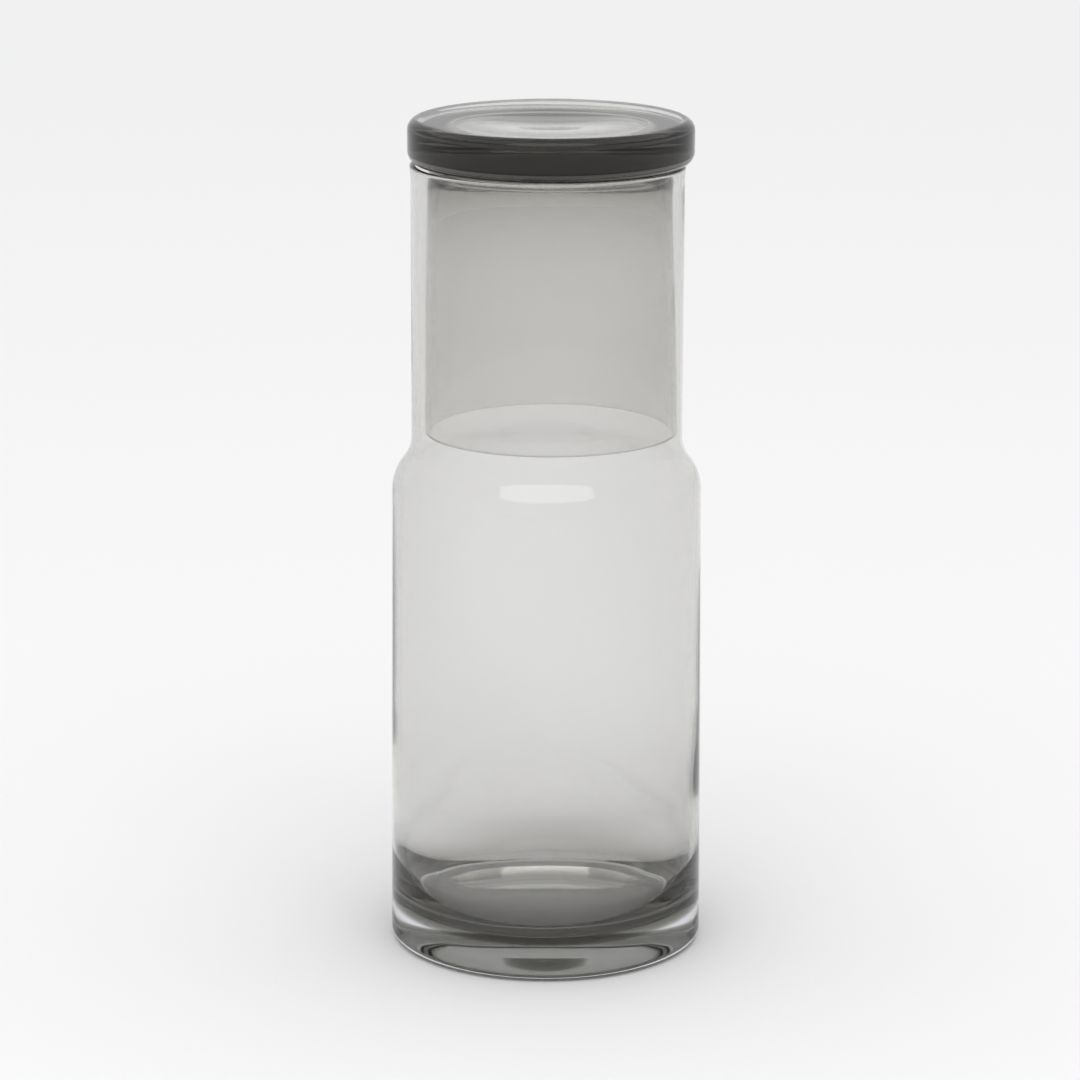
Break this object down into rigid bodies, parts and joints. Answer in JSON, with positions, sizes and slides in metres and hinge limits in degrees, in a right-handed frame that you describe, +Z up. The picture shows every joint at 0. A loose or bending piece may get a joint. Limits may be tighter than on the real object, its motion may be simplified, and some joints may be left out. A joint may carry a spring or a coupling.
{
  "type": "glass carafe with tumbler",
  "caption": "Smoke-grey glass carafe with a straight neck and a clear glass foot, closed by an upside-down drinking tumbler whose paler flanged foot rests on the lip as a lid.",
  "frame": {"origin": "middle of the carafe's foot, on the surface that it stands on", "axes": "+Z up along the carafe's axis; +X towards the side of the neck that the tumbler leans to; the picture looks along +Y"},
  "size_m": [0.088, 0.088, 0.2344],
  "materials": {
    "smoke_glass": "clear smoke-grey blown glass, fire polished",
    "pale_smoke_glass": "clear glass with a paler smoke tint, fire polished",
    "clear_glass": "clear glass with a trace of grey, fire polished"
  },
  "bodies": {
    "carafe": {"carafe_vessel": "smoke_glass", "carafe_foot": "clear_glass"},
    "tumbler": {"tumbler_cup": "smoke_glass", "tumbler_foot": "pale_smoke_glass"}
  },
  "joints": [
    {"name": "tumbler_lift", "type": "slide", "parent": "carafe", "child": "tumbler", "axis": [0, 0, 1], "range_m": [0, 0.1]}
  ]
}
